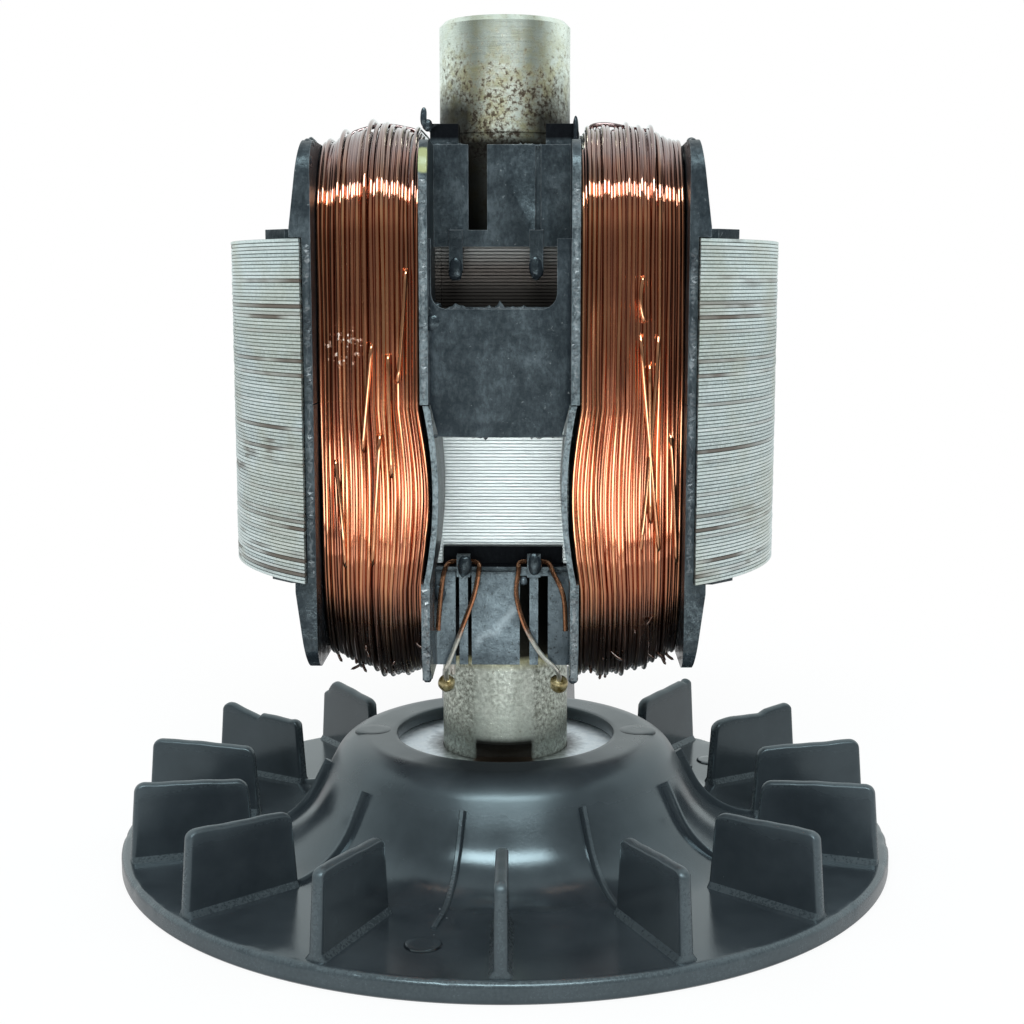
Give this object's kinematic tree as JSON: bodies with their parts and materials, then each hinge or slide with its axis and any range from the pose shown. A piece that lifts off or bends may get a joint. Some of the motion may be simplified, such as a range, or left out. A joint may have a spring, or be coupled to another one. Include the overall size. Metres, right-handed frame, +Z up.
{
  "type": "generator rotor",
  "caption": "Salient-pole rotor of a small portable generator: laminated core with wound copper coils in plastic bobbins on a steel shaft, standing on its black bladed cooling fan.",
  "frame": {"origin": "on the rotor's axis, in the plane of the fan's rim that the rotor stands on", "axes": "+Z up the shaft from the fan to the bearing end, X through the two poles, -Y the front with the coil leads"},
  "size_m": [0.1224, 0.1224, 0.1295],
  "materials": {
    "shaft_steel": "ground, with light rust speckles",
    "sheet_steel": "turned edges of stacked sheets, some rust lines",
    "insulator_plastic": "satin moulded thermoplastic, scuffed",
    "enamelled_copper": "copper wire under clear amber enamel",
    "lead_wire": "copper wire, tinned toward its end",
    "solder": "tin-lead solder under amber flux",
    "diode_body": "moulded epoxy with tinned wires",
    "fan_plastic": "satin black moulded plastic",
    "zinc_plate": "bright zinc plating"
  },
  "bodies": {
    "root": {"shaft": "shaft_steel", "core": "sheet_steel", "upper_insulator": "insulator_plastic", "lower_insulator": "insulator_plastic", "left_coil": "enamelled_copper", "right_coil": "enamelled_copper", "left_front_lead": "lead_wire", "right_front_lead": "lead_wire", "left_rear_lead": "lead_wire", "right_rear_lead": "lead_wire", "left_front_solder": "solder", "right_front_solder": "solder", "left_rear_solder": "solder", "right_rear_solder": "solder", "left_diode": "diode_body", "right_diode": "diode_body", "fan": "fan_plastic", "hub_plate": "zinc_plate"}
  },
  "joints": []
}
